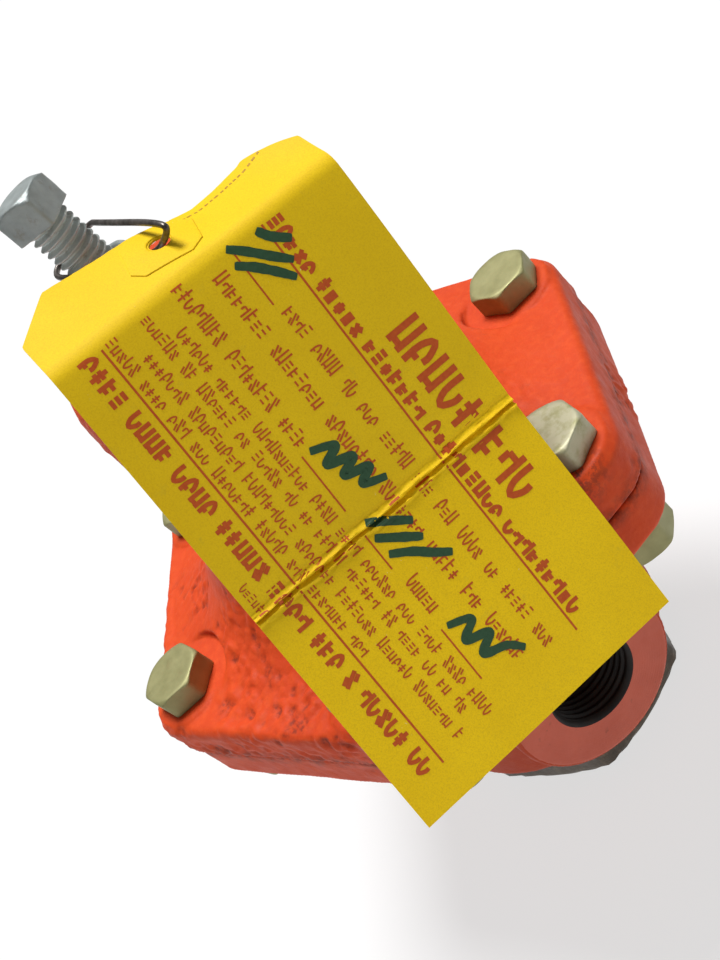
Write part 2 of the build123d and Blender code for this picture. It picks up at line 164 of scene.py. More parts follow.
class Shader:
    """A small helper that builds one node material."""

    def __init__(self, name):
        self.material = bpy.data.materials.new(name)
        self.material.use_nodes = True
        self.nodes = self.material.node_tree.nodes
        self.links = self.material.node_tree.links
        self.bsdf = self.nodes["Principled BSDF"]
        self.place = self.nodes.new("ShaderNodeTexCoord").outputs["Object"]

    def set(self, **values):
        for key, value in values.items():
            self.bsdf.inputs[key.replace("_", " ")].default_value = value
        return self

    def add(self, kind, inputs=(), **settings):
        node = self.nodes.new(kind)
        for key, value in settings.items():
            setattr(node, key, value)
        for key, value in dict(inputs).items():
            if isinstance(value, bpy.types.NodeSocket):
                self.links.new(value, node.inputs[key])
            else:
                node.inputs[key].default_value = value
        return node

    def noise(self, size_mm, detail=4.0, rough=0.6, stretch=(1, 1, 1), offset=0.0):
        """Fractal noise with features about size_mm across, from 0 to 1."""
        mapping = self.add("ShaderNodeMapping", {
            "Vector": self.place, "Scale": stretch, "Location": (offset, offset * 0.7, offset * 1.3),
        })
        return self.add("ShaderNodeTexNoise", {
            "Vector": mapping.outputs["Vector"], "Scale": 1 / (size_mm * MM), "Detail": detail,
            "Roughness": rough,
        }).outputs["Fac"]

    def ramp(self, value, *stops):
        """Stops are (position, grey)."""
        node = self.add("ShaderNodeValToRGB", {"Fac": value})
        points = node.color_ramp.elements
        for point, (where, grey) in zip(points, stops):
            point.position = where
            point.color = (grey, grey, grey, 1)
        return node.outputs["Color"]

    def mix(self, factor, first, second):
        """Two colours mixed; each is a socket or a tuple of three."""
        node = self.add("ShaderNodeMix", {"Factor": factor}, data_type="RGBA")
        for index, value in ((6, first), (7, second)):
            if isinstance(value, bpy.types.NodeSocket):
                self.links.new(value, node.inputs[index])
            else:
                node.inputs[index].default_value = (*value, 1)
        return node.outputs[2]

    def mottle(self, first, second, size_mm, detail, rough, low, high, offset=0.0):
        """Two colours in soft patches: the first where the noise is below low, the second above high."""
        value = self.noise(size_mm, detail, rough, offset=offset)
        return self.mix(self.ramp(value, (low, 0.0), (high, 1.0)), first, second)

    def patches(self, size_mm, detail, rough, offset, low, high):
        """Noise cut into patches; low and high are (position, strength)."""
        return self.ramp(self.noise(size_mm, detail, rough, offset=offset), low, high)

    def near(self, place, inside, outside):
        """1 within `inside` metres of a place in millimetres, falling to 0 at `outside`."""
        far = self.add("ShaderNodeVectorMath", {0: self.place, 1: [c * MM for c in place]},
                       operation="DISTANCE")
        return self.ramp(far.outputs["Value"], (inside, 1.0), (outside, 0.0))

    def attribute(self, name):
        return self.add("ShaderNodeAttribute", attribute_name=name).outputs["Fac"]

    def maths(self, operation, first, second=0.0):
        return self.add("ShaderNodeMath", {0: first, 1: second}, operation=operation).outputs[0]

    def colour(self, socket):
        self.links.new(socket, self.bsdf.inputs["Base Color"])
        return self

    def roughness(self, size_mm, detail, rough, smooth, matt, offset=0.0):
        """Roughness that wanders between two values."""
        value = self.patches(size_mm, detail, rough, offset, (0.3, smooth), (0.8, matt))
        self.links.new(value, self.bsdf.inputs["Roughness"])
        return self

    def bump(self, *layers):
        """Layers are (height socket, depth in millimetres)."""
        normal = None
        for height, depth in layers:
            node = self.add("ShaderNodeBump", {"Height": height, "Distance": depth * MM, "Strength": 1.0})
            if normal is not None:
                self.links.new(normal, node.inputs["Normal"])
            normal = node.outputs["Normal"]
        self.links.new(normal, self.bsdf.inputs["Normal"])
        return self

    def height(self):
        """Height of the surface in metres."""
        return self.add("ShaderNodeSeparateXYZ", {"Vector": self.place}).outputs["Z"]


def enamel():
    """Orange-red enamel over sand-cast iron: mottled, with painted highlights on its fine grain and painted
    shade in its pits, dirt and painted shade along the flange joint, painted shade where the tag card's edge
    nears the flange top, and painted shade darkening it low on the body, under the flange."""
    s = Shader("orange_enamel").set(Specular_IOR_Level=0.14)
    fine = s.noise(1.9, 5, 0.62, offset=0.4)
    base = s.mottle((0.54, 0.052, 0.012), (0.63, 0.068, 0.014), 24, 3, 0.5, 0.3, 0.72)
    # Painted highlight: the raised bits of the fine bump grain are painted a lighter orange.
    base = s.mix(s.ramp(fine, (0.45, 0.0), (0.75, 0.6)), base, (0.69, 0.092, 0.020))
    # Painted shade: the casting's pits, taken from its hollow mask, are painted dark red.
    speck = s.patches(1.3, 4, 0.6, 4.0, (0.42, 0.2), (0.62, 1.0))
    pits = s.ramp(s.attribute("hollow"), (0.15, 0.0), (0.9, 0.85))
    base = s.mix(s.maths("MULTIPLY", pits, speck), base, (0.20, 0.028, 0.014))
    grime = s.patches(6.5, 6, 0.7, 5.2, (0.60, 0.0), (0.78, 0.8))
    base = s.mix(s.maths("MULTIPLY", grime, 0.30), base, (0.26, 0.060, 0.034))
    # Dirt and painted shade: dark patches along the flange joint, where the two flanges meet.
    joint = (BODY_HIGH[2] + CHAMBER_LOW[2]) / 2 * MM
    off_joint = s.maths("ABSOLUTE", s.maths("SUBTRACT", s.height(), joint))
    near_joint = s.ramp(off_joint, (0.0006, 1.0), (0.0026, 0.0))
    joint_dirt_and_shade = s.patches(3.2, 5, 0.7, 6.1, (0.40, 0.0), (0.62, 0.9))
    base = s.mix(s.maths("MULTIPLY", near_joint, joint_dirt_and_shade), base, (0.060, 0.024, 0.018))
    # Painted shade: speckled near-black round the place where the tag card's edge nears the flange top.
    card_edge_shade = s.patches(2.1, 6, 0.75, 9.3, (0.46, 0.0), (0.56, 1.0))
    near_corner = s.near(CARD_EDGE_SHADE_SPOT, 0.0015, 0.0065)
    base = s.mix(s.maths("MULTIPLY", near_corner, card_edge_shade), base, (0.035, 0.022, 0.018))
    # Painted shade: the enamel is painted darker low on the body, under the flange.
    low = s.ramp(s.height(), ((PORT_Z + 22) * MM, 0.55), ((PORT_Z + 30) * MM, 0.0))
    base = s.mix(low, base, (0.34, 0.058, 0.030))
    iron = s.mottle((0.020, 0.015, 0.012), (0.075, 0.050, 0.036), 3, 4, 0.6, 0.35, 0.8)
    s.colour(s.mix(s.ramp(s.attribute("bare"), (0.3, 0.0), (0.7, 1.0)), base, iron))
    s.roughness(4, 4, 0.6, 0.46, 0.70, offset=1.0)
    return s.bump((s.noise(0.7, 4, 0.65, offset=3.0), 0.08), (fine, 0.12)).material


def dull_enamel():
    """The same paint where it was sprayed thin over machined faces: matt, browner, faintly scored."""
    s = Shader("dull_enamel").set(Specular_IOR_Level=0.3)
    base = s.mottle((0.54, 0.105, 0.060), (0.62, 0.130, 0.076), 9, 4, 0.6, 0.3, 0.75)
    rust = s.patches(3.1, 5, 0.65, 2.0, (0.62, 0.0), (0.75, 0.6))
    s.colour(s.mix(rust, base, (0.20, 0.055, 0.03)))
    s.roughness(2.0, 4, 0.6, 0.42, 0.66)
    return s.bump((s.noise(0.5, offset=1.2), 0.05)).material


def plated_steel():
    """Aged cadmium plating: greenish grey, dull, with brown stains gathered in patches, and rubbed to
    paler steel on one head."""
    s = Shader("aged_plating").set(Metallic=0.45, Specular_IOR_Level=0.4)
    base = s.mottle((0.25, 0.242, 0.105), (0.325, 0.315, 0.15), 5.0, 4, 0.55, 0.3, 0.7)
    stain = s.patches(6.5, 5, 0.65, 1.7, (0.58, 0.0), (0.80, 0.6))
    base = s.mix(stain, base, (0.23, 0.165, 0.075))
    low, high = BOLT_BOXES[WORN_BOLT]
    worn_head = s.near((*(low + high)[:2] / 2, high[2] - BOLT_HEAD_H / 2), 0.0095, 0.0115)
    rubbed = s.patches(3.4, 5, 0.65, 5.1, (0.36, 0.15), (0.54, 0.85))
    s.colour(s.mix(s.maths("MULTIPLY", worn_head, rubbed), base, (0.45, 0.43, 0.30)))
    s.roughness(1.6, 4, 0.6, 0.46, 0.62, offset=0.6)
    scratch = s.noise(0.35, 3, 0.6, stretch=(1.0, 0.16, 1.0), offset=0.9)
    return s.bump((s.noise(2.2, 3, 0.5), 0.05), (scratch, 0.012)).material


def zinc_steel(name, first, second, metallic):
    """Blue-grey zinc with slightly rusty stains in its hollows."""
    s = Shader(name).set(Metallic=metallic)
    stain = s.patches(2.6, 5, 0.7, 2.2, (0.56, 0.0), (0.74, 0.7))
    s.colour(s.mix(stain, s.mottle(first, second, 3.6, 5, 0.55, 0.3, 0.7), (0.17, 0.14, 0.10)))
    s.roughness(1.2, 4, 0.6, 0.44, 0.62)
    return s.bump((s.noise(0.6), 0.03)).material


def oiled_iron():
    """Dark brown-black plug: as-cast skin soaked with old oil, rubbed lighter in patches."""
    s = Shader("oiled_iron").set(Metallic=0.25, Specular_IOR_Level=0.35)
    base = s.mottle((0.050, 0.038, 0.026), (0.12, 0.092, 0.062), 8, 5, 0.62, 0.3, 0.75)
    rub = s.patches(2.2, 5, 0.7, 1.1, (0.52, 0.0), (0.70, 0.55))
    s.colour(s.mix(rub, base, (0.22, 0.165, 0.105)))
    s.roughness(3, 4, 0.6, 0.30, 0.58)
    return s.bump((s.noise(1.2, 5), 0.12), (s.noise(0.35, 3), 0.03)).material


def bore_iron_painted_shade():
    """Nearly black threads in the ports: dark iron, with painted shade inside the bores that makes it nearly
    black.
    """
    s = Shader("bore_iron_painted_shade").set(Metallic=0.2)
    s.colour(s.mottle((0.004, 0.0035, 0.003), (0.020, 0.013, 0.009), 3, 4, 0.6, 0.35, 0.8))
    return s.set(Roughness=0.6).bump((s.noise(0.6), 0.05)).material


def card_stock():
    """Yellow tag card: fibrous, faintly speckled, with painted shade darkening it above its crease, scuffed
    pale in places.
    """
    s = Shader("yellow_card").set(Specular_IOR_Level=0.14)
    grain = s.noise(0.30, 4, 0.75)
    base = s.mottle((0.91, 0.60, 0.006), (0.98, 0.665, 0.008), 17, 4, 0.6, 0.3, 0.75, offset=0.8)
    # Painted shade: everything above the crease's height, the header too, is painted a little darker.
    upper_card_shade = s.ramp(s.height(), (CREASE_Z * MM - 0.003, 0.0), (CREASE_Z * MM + 0.003, 0.20))
    base = s.mix(upper_card_shade, base, (0.42, 0.30, 0.012))
    base = s.mix(s.ramp(grain, (0.44, 0.0), (0.68, 0.55)), base, (0.64, 0.37, 0.006))
    dust = s.patches(4.5, 6, 0.75, 3.3, (0.60, 0.0), (0.80, 0.7))
    base = s.mix(s.maths("MULTIPLY", dust, 0.32), base, (0.36, 0.29, 0.06))
    zone = s.patches(14, 2, 0.5, 7.4, (0.60, 0.0), (0.66, 1.0))
    scuff = s.patches(1.1, 4, 0.8, 8.1, (0.66, 0.0), (0.69, 0.8))
    base = s.mix(s.maths("MULTIPLY", scuff, zone), base, (0.86, 0.78, 0.42))
    s.colour(base).set(Roughness=0.62)
    fibre = s.noise(0.9, 4, 0.7, stretch=(1.0, 1.0, 0.25), offset=1.9)
    return s.bump((grain, 0.020), (fibre, 0.03)).material


def ink(name, first, second, rough):
    s = Shader(name).set(Specular_IOR_Level=0.3, Roughness=rough)
    s.colour(s.mottle(first, second, 0.8, 5, 0.7, 0.35, 0.75))
    return s.bump((s.noise(0.42, 4, 0.7), 0.012)).material


def dark_wire():
    s = Shader("dark_wire").set(Metallic=0.75, Roughness=0.36)
    s.colour(s.mottle((0.055, 0.045, 0.038), (0.20, 0.18, 0.165), 2.2, 4, 0.6, 0.35, 0.7))
    return s.bump((s.noise(0.5, 3), 0.02)).material


def inner_metal(name, first, second, metallic, rough):
    s = Shader(name).set(Metallic=metallic, Roughness=rough)
    s.colour(s.mottle(first, second, 3, 4, 0.6, 0.3, 0.7))
    return s.bump((s.noise(0.8, 3), 0.03)).material


def self_lit(name, emission, grey, rough, specular):
    """A stage material that gives part of its white as its own light, so that shadows stay faint."""
    s = Shader(name).set(Roughness=rough, Specular_IOR_Level=specular, Emission_Strength=emission)
    return s.set(Base_Color=(grey, grey, grey, 1), Emission_Color=(1, 1, 1, 1)).material


# ---------------- mesh tools

HEAD_COLUMNS = 96
ROD_COLUMNS = 72
ROWS_PER_TURN = 14
THREAD_RUN_OUT = 1.2


def add_object(name, data):
    thing = bpy.data.objects.new(name, data)
    bpy.context.scene.collection.objects.link(thing)
    return thing


def make(name, verts, faces, material, body, slot):
    """A new piece from millimetre vertices, riding on a CAD body."""
    mesh = bpy.data.meshes.new(name)
    mesh.from_pydata([tuple(c * MM for c in v) for v in verts], [], faces)
    mesh.validate()
    return finish_piece(name, mesh, material, body, slot)


def finish_piece(name, mesh, material, body, slot):
    piece = add_object(name, mesh)
    dress(mesh, material)
    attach(piece, body)
    return piece


def dress(mesh, material):
    """One material and smooth shading."""
    mesh.materials.clear()
    mesh.materials.append(material)
    for polygon in mesh.polygons:
        polygon.use_smooth = True


def grid_faces(rows, columns, closed=True, start=0):
    """Quads of a grid whose columns close into rings."""
    faces = []
    for r in range(rows - 1):
        for c in range(columns if closed else columns - 1):
            d = (c + 1) % columns
            a = start + r * columns
            b = a + columns
            faces.append((a + c, a + d, b + d, b + c))
    return faces


def lathe(name, rings, columns, material, body, slot, centre=(0, 0), capped=True):
    """Rings are (height, radius), where radius is a number or a function of angle and height. Without
    caps the last ring is joined to the first, which makes a hollow solid."""
    verts = []
    for height, radius in rings:
        for c in range(columns):
            angle = TAU * c / columns
            r = radius(angle, height) if callable(radius) else radius
            verts.append((centre[0] + r * math.cos(angle), centre[1] + r * math.sin(angle), height))
    faces = grid_faces(len(rings), columns)
    last = (len(rings) - 1) * columns
    if capped:
        faces += [tuple(reversed(range(columns))), tuple(range(last, last + columns))]
    else:
        faces += [(last + c, last + (c + 1) % columns, (c + 1) % columns, c) for c in range(columns)]
    return make(name, verts, faces, material, body, slot)


def polygon_radius(sides, apothem, turn, sharpness):
    """Radius of a polygon with rounded corners; a larger sharpness gives crisper corners."""
    normals = [turn + TAU * k / sides for k in range(sides)]

    def radius(angle):
        total = sum(max(0.0, math.cos(angle - n)) ** sharpness for n in normals)
        return apothem / total ** (1 / sharpness)
    return radius


def soft_min(first, second, blend):
    gap = (second - first) / blend
    if gap > 20:
        return first
    if gap < -20:
        return second
    return first - blend * math.log1p(math.exp(-gap))


def wrench_head(name, centre, z0, z1, sides, across_flats, turn, material, body, slot,
                chamfer_low=False, hole=0.0, pocket=None, lumps=0.0, seed=0, sharpness=26):
    """A hexagon or square head turned to a chamfer, with soft arrises and a slightly uneven face.

    turn is the angle of one flat's normal. hole is the radius of a bore right through, and pocket the
    radius and floor of a blind one from the top."""
    flat = across_flats / 2
    outline = polygon_radius(sides, flat, turn, sharpness)
    corner = flat / math.cos(math.pi / sides)
    drop = (corner - flat) * math.tan(math.radians(30)) + 0.25
    steep = math.tan(math.radians(60))
    edge = 0.22
    chamfer_start = flat - 0.1

    def limit(z):
        reach = min(corner + 1.0, chamfer_start + (z1 - z) * steep)
        return min(reach, chamfer_start + (z - z0) * steep) if chamfer_low else reach

    def round_end(z):
        """Pulls the last fraction of a millimetre in, so the end faces have a soft edge."""
        near = min(z1 - z, z - z0, edge)
        return edge * (1 - math.sqrt(max(0.0, 1 - (1 - near / edge) ** 2)))

    def radius(angle, z):
        r = soft_min(outline(angle), limit(z), 0.12) - round_end(z)
        point = Vector((math.cos(angle) * 1.4, math.sin(angle) * 1.4, z * 0.18 + seed))
        return r + lumps * noise.noise(point * 1.7)

    def face_ring(z, share):
        return z, lambda angle, _: radius(angle, z) * share

    levels = {z0 + (z1 - z0) * k / 12 for k in range(13)}
    for near in (edge * 0.3, edge * 0.7, edge, drop * 0.4, drop * 0.8, drop):
        levels |= {z0 + near, z1 - near}
    wall = [(z, radius) for z in sorted(levels)]
    if hole:
        bevel = 0.45
        wall = [(z0 + bevel, hole), (z0, hole + bevel)] + wall + [(z1, hole + bevel), (z1 - bevel, hole)]
        return lathe(name, wall, HEAD_COLUMNS, material, body, slot, centre, capped=False)
    low = [face_ring(z0, share) for share in (0.3, 0.6, 0.88)]
    top = [face_ring(z1, share) for share in (0.88, 0.6, 0.3)]
    if pocket:
        top[2:] = [(z1, pocket[0]), (pocket[1], pocket[0])]
    return lathe(name, low + wall + top, HEAD_COLUMNS, material, body, slot, centre)


def thread_wave(phase):
    """Depth of a rounded sixty-degree thread at a phase from 0 to 1: 0 on the crest, 1 in the root."""
    x = abs((phase % 1.0) * 2 - 1)
    return min(1.0, max(0.0, (0.88 - x) / 0.72))


def threaded_rod(name, centre, z0, z1, radius, pitch, depth, material, body, slot, inside=()):
    """A right-hand external thread, turned down to the root at its lower end. A hollow one has the rings
    of its inside, from the top down."""
    rows = int((z1 - z0) / pitch * ROWS_PER_TURN) + 1

    def at(angle, z):
        crest = radius - depth * (1 - min(1.0, (z - z0) / THREAD_RUN_OUT))
        return min(crest, radius - depth * thread_wave(z / pitch - angle / TAU))

    rings = [(z0 + (z1 - z0) * k / (rows - 1), at) for k in range(rows)] + list(inside)
    return lathe(name, rings, ROD_COLUMNS, material, body, slot, centre, capped=not inside)


# ---------------- castings

def distance_weights(points):
    """0 on machined faces, where the casting's roughness stops, and 1 well away from them."""
    x, y, z = (points / MM).T
    radial = np.hypot(x, y)
    weight = np.ones(len(points))

    def keep(distance, near, far):
        return np.clip((distance - near) / (far - near), 0, 1)

    off_port = np.hypot(y, z - PORT_Z)
    weight *= np.maximum(keep(np.abs(np.abs(x) - PORT_MOUTH), 0.4, 1.6), keep(off_port, 22.0, 22.5))
    weight *= keep(off_port, PORT_R + 1.0, PORT_R + 2.0) ** (np.abs(x) > 20)
    for seam in (BODY_LOW[2], BODY_HIGH[2], CHAMBER_LOW[2]):
        weight *= keep(np.abs(z - seam), 0.3, 1.2)
    for low, high in BOLT_BOXES:
        cx, cy = (low + high)[:2] / 2
        off = np.hypot(x - cx, y - cy)
        weight *= np.maximum(keep(off, SPOT_R - 0.8, SPOT_R + 0.6), keep(np.abs(z - SPOT_Z), 0.3, 1.0))
    return weight * np.maximum(keep(np.abs(z - CHAMBER_HIGH[2]), 0.3, 0.9), keep(radial, 11.5, 12.0))


def read_vectors(mesh, name):
    values = np.empty(len(mesh.vertices) * 3)
    mesh.vertices.foreach_get(name, values)
    return values.reshape(-1, 3)


def cast_surface(node, name, material):
    """The CAD casting with an even mesh, moved in and out by sand-mould roughness."""
    rough = add_object(name, frame["nodes"][node].data.copy())
    remesh = rough.modifiers.new("even", "REMESH")
    remesh.mode = "VOXEL"
    remesh.voxel_size = CAST_VOXEL * MM
    remesh.use_smooth_shade = True
    graph = bpy.context.evaluated_depsgraph_get()
    mesh = bpy.data.meshes.new_from_object(rough.evaluated_get(graph))
    bpy.data.objects.remove(rough)
    points = read_vectors(mesh, "co")
    normals = read_vectors(mesh, "normal")
    weight = distance_weights(points)
    height, hollow = casting_height(points)
    moved = clear_ports(points + normals * (weight * height * MM)[:, None])
    mesh.vertices.foreach_set("co", moved.ravel())
    for label, values in (("hollow", hollow * weight), ("bare", facing_inwards(points, normals))):
        mesh.attributes.new(label, "FLOAT", "POINT").data.foreach_set("value", values)
    mesh.update()
    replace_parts(finish_piece(name, mesh, material, *IRON), node)


def facing_inwards(points, normals):
    """1 on the unpainted surfaces inside the castings, round their axis or round the ports' axis."""
    x, y, z = (points / MM).T
    radial = np.hypot(x, y)
    to_axis = (x * normals[:, 0] + y * normals[:, 1]) / np.maximum(radial, 0.1)
    off = np.hypot(y, z - PORT_Z)
    to_port = (y * normals[:, 1] + (z - PORT_Z) * normals[:, 2]) / np.maximum(off, 0.1)
    inside = (to_axis < -0.2) & (radial < INSIDE_R)
    in_port = (to_port < -0.2) & (off < PORT_R + 2)
    return (inside | in_port).astype(float)


def value_noise(points, size, seed):
    """Smooth random heights from -1 to 1 over a lattice of cells, worked out for all points at once."""
    p = points / (size * MM) + seed * 17.17
    cell = np.floor(p).astype(np.int64)
    f = p - cell
    f = f * f * (3 - 2 * f)
    total = np.zeros(len(points))
    for corner in np.ndindex(2, 2, 2):
        h = ((cell + corner) * HASH_FACTORS).sum(1)
        h = (h ^ (h >> 13)) * 1274126177
        h = ((h ^ (h >> 16)) & HASH_TOP) / float(HASH_TOP)
        weight = np.where(corner, f, 1 - f)
        total += h * weight[:, 0] * weight[:, 1] * weight[:, 2]
    return total * 2 - 1


# Whole-number hash of a lattice corner
HASH_FACTORS = (374761393, 668265263, 2147483647)
HASH_TOP = 0xFFFFFF

# Where the sand broke and left the skin coarse: place in mm and reach
ROUGH_PATCHES = (
    ((-17.0, -38.0, 92.0), 13.0), ((10.0, -38.0, 92.0), 15.0), ((21.0, -48.0, 92.0), 14.0),
    ((32.0, -39.0, 92.0), 13.0), ((49.0, -41.0, 92.0), 12.0), ((4.0, -60.0, 84.0), 12.0),
    ((-46.0, 20.0, 92.0), 14.0), ((-20.0, 30.0, 110.0), 16.0), ((30.0, 50.0, 74.0), 12.0),
)


def casting_height(points):
    """Millimetres off the true surface, and how hollow it is there: long swells, sand grain, zones where
    the sand broke and left lumps and pits, and a crust of paint along the flange joint."""
    swell = 0.20 * value_noise(points, 19, 1) + 0.10 * value_noise(points, 8, 2)
    grain = 0.5 * value_noise(points, 2.2, 3) + 0.5 * value_noise(points, 1.3, 4)
    coarse = np.clip((value_noise(points, 24, 5) - 0.25) * 0.9, 0, 0.35)
    for place, reach in ROUGH_PATCHES:
        near = 1 - np.linalg.norm(points / MM - place, axis=1) / reach
        coarse = np.maximum(coarse, np.clip(near * 2.0 + 0.7 * value_noise(points, 5, 7), 0, 1))
    above_joint = np.abs(points[:, 2] / MM - CHAMBER_LOW[2] - 2.5) / 4.5
    front = np.clip((-points[:, 1] / MM - 38) / 10, 0.15, 1)
    crust = front * np.clip(1 - above_joint, 0, 1) * np.clip(value_noise(points, 13, 10) + 0.6, 0, 1)
    coarse = np.maximum(coarse, np.clip(crust * 2.0, 0, 1))
    lumps = np.abs(value_noise(points, 2.9, 8)) + 0.7 * np.abs(value_noise(points, 1.7, 9))
    pits = np.clip(value_noise(points, 2.5, 6) - 0.30, 0, 1)
    broken = (lumps - 0.55) * 0.75 * coarse - pits * (0.08 + 0.62 * coarse)
    hollow = np.clip(pits * 2.4 + (0.55 - lumps) * 0.8, 0, 1) * np.clip(0.2 + coarse, 0, 1)
    return swell + grain * (0.05 + 0.15 * coarse) + broken, hollow


def clear_ports(points):
    """Sinks the casting a little under the port linings, so that only the linings show."""
    x, y, z = (points / MM).T
    off = np.hypot(y, z - PORT_Z)
    at_face = (np.abs(x) > PORT_X - 1) & (off < PORT_BOSS_R + 1)
    sink = np.where(at_face, 0.35 * np.clip((PORT_BOSS_R - 0.8 - off) / 0.7, 0, 1), 0)
    inside = np.clip((np.abs(x) - PORT_X + PORT_LENGTH - 1) / 2, 0, 1) * (off < PORT_R + 1)
    spread = 1 + inside * (PORT_R + 1 - off) / np.maximum(off, 1)
    return np.stack([x - np.sign(x) * sink, y * spread, PORT_Z + (z - PORT_Z) * spread], 1) * MM


# ---------------- ports

def port_point(side, x, radius, angle):
    return side * x, side * radius * math.cos(angle), PORT_Z + radius * math.sin(angle)


def port_thread(side, end, material):
    """Tapped pipe thread with its countersunk mouth, as a lining of one port."""
    columns, depth = 120, 0.55
    angles = [TAU * c / columns for c in range(columns)]
    start = PORT_MOUTH - 0.9
    inner_end = PORT_MOUTH - PORT_LENGTH - 0.4
    rows = int(PORT_LENGTH / PIPE_PITCH * ROWS_PER_TURN)
    verts = []
    for wider, out in ((0.95, -0.02), (0.72, 0.03), (0.55, 0.0)):
        verts += [port_point(side, PORT_MOUTH + out, PORT_R + wider, angle) for angle in angles]
    for r in range(rows + 1):
        x = start - (start - inner_end) * r / rows
        taper = (PORT_MOUTH - x) / 32
        lead = min(1.0, r / 10)
        for angle in angles:
            wave = thread_wave(x / PIPE_PITCH - angle / TAU)
            verts.append(port_point(side, x, PORT_R - 0.06 - taper - depth * wave * lead, angle))
    make(f"port_thread_{end}", verts, grid_faces(rows + 4, columns), material, *IRON)


def port_face(side, end, material):
    """The spot-faced end of a port boss, with the fine rings its cutter left."""
    columns, steps = 160, 44
    inner = PORT_R + 0.75
    outer = PORT_BOSS_R - 0.35
    verts = []
    for k in range(steps + 1):
        radius = inner + (outer - inner) * k / steps
        lip = 0.55 * max(0.0, (radius - outer + 1.2) / 1.2) ** 2
        for c in range(columns):
            angle = TAU * c / columns
            groove = 0.018 * math.sin(radius * 9)
            groove += 0.02 * noise.noise(Vector((radius * 0.3, angle * 2, side)))
            verts.append(port_point(side, PORT_MOUTH + 0.06 + groove - lip, radius, angle))
    make(f"port_face_{end}", verts, grid_faces(steps + 1, columns), material, *IRON)


# ---------------- bolts, nuts, screw, plug

def build_fasteners(steel):
    for k, (low, high) in enumerate(BOLT_BOXES):
        centre = tuple((low + high)[:2] / 2)
        turn = math.radians(HEAD_TURNS[k] + HEX_FACE_TURN)
        head = wrench_head(f"bolt_head_{k}", centre, SPOT_Z + 0.02, high[2] - 0.35, 6, HEX_AF, turn, steel,
                           *BOLTS, lumps=0.10, seed=k)
        threaded_rod(f"bolt_end_{k}", centre, low[2], SPOT_Z + 0.6, SCREW_R - 0.02, SCREW_PITCH,
                     THREAD_DEPTH, steel, *BOLTS)
        if k == 0:
            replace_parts(head, "flange_bolts")
    for k, (low, high) in enumerate(FLANGE_NUT_BOXES):
        turn = math.radians(NUT_TURNS[k] + HEX_FACE_TURN)
        nut = wrench_head(f"flange_nut_{k}", tuple((low + high)[:2] / 2), low[2], high[2] - 0.02, 6, HEX_AF,
                          turn, steel, *BOLTS, chamfer_low=True, hole=NUT_HOLE_R, lumps=0.08, seed=20 + k)
    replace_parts(nut, "flange_nuts")


def build_screw(zinc, thread):
    top = SCREW_HIGH[2]
    head_base = top - SCREW_HEAD_H
    shank = threaded_rod("screw_shank", (0, 0), SCREW_LOW[2], head_base + 0.4, SCREW_R - 0.01, SCREW_PITCH,
                         THREAD_DEPTH, thread, "adjusting_screw", "zinc_screw")
    wrench_head("screw_head", (0, 0), head_base, top, 4, SCREW_HEAD_AF, SCREW_HEAD_TURN, zinc,
                "adjusting_screw", "zinc_screw", lumps=0.12, seed=4, sharpness=34)
    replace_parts(shank, "adjusting_screw")
    nut = wrench_head("screw_lock_nut", (0, 0), NUT_LOW[2] + 0.01, NUT_HIGH[2], 6, HEX_AF,
                      math.radians(LOCK_NUT_TURN + HEX_FACE_TURN), zinc, "lock_nut", "zinc_screw",
                      chamfer_low=True, hole=NUT_HOLE_R, lumps=0.06, seed=8)
    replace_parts(nut, "lock_nut")


def build_plug(iron):
    """The plug's hexagon, and its thread with the guide bore of the piston."""
    hexagon = wrench_head("plug_hex", (0, 0), 0.0, PLUG_HEX_H, 6, PLUG_AF, PLUG_TURN, iron, *PLUG,
                          chamfer_low=True, pocket=(PLUG_POCKET_R, PLUG_POCKET_Z), lumps=0.07, seed=12,
                          sharpness=44)
    foot = PLUG_HEX_H - 0.5
    inside = [(PLUG_THREAD_TOP, PLUG_GUIDE_R), (PLUG_GUIDE_TOP, PLUG_GUIDE_R), (PLUG_GUIDE_TOP, PLUG_BORE_R),
              (PLUG_BORE_Z, PLUG_BORE_R), (PLUG_BORE_Z, PLUG_POCKET_R), (foot, PLUG_POCKET_R)]
    threaded_rod("plug_thread", (0, 0), foot, PLUG_THREAD_TOP, PLUG_THREAD_R, PLUG_THREAD_PITCH,
                 PLUG_THREAD_DEPTH, iron, *PLUG, inside=inside)
    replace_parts(hexagon, "bottom_plug")


# ---------------- tag: card, print, marker

CARD_T = 0.45
CARD_W = 60.3
PANEL_L = 101.0
HEADER_L = 18.6
HEADER_FOLD = math.radians(57)
CORNER_CLIP = 9.0
HOLE_R = 2.05
HOLE_FROM_FOLD = 10.3
HOLE_ACROSS = -0.9
FOLD_R = 4.0
CREASE = 53.5
# The header is warped: places across its far edge and how far each stands off the flat, in mm
HEADER_EDGE_A = (-31, -22, -11, -3, 2, 6, 9, 14, 20, 25, 31)
HEADER_EDGE_LIFT = (3.4, 2.6, 1.2, 0.4, -0.7, -1.7, -2.2, -1.8, -0.9, 1.2, 4.2)
FOLD_MID = Vector((35.4, 9.2, 166.6))
ACROSS = Vector((-0.017, 0.976, -0.218)).normalized()
DOWN = Vector((0.3586, -0.1976, -0.9123))
DOWN = (DOWN - ACROSS * DOWN.dot(ACROSS)).normalized()
OUT = DOWN.cross(ACROSS).normalized()
CREASE_Z = (FOLD_MID + DOWN * CREASE).z


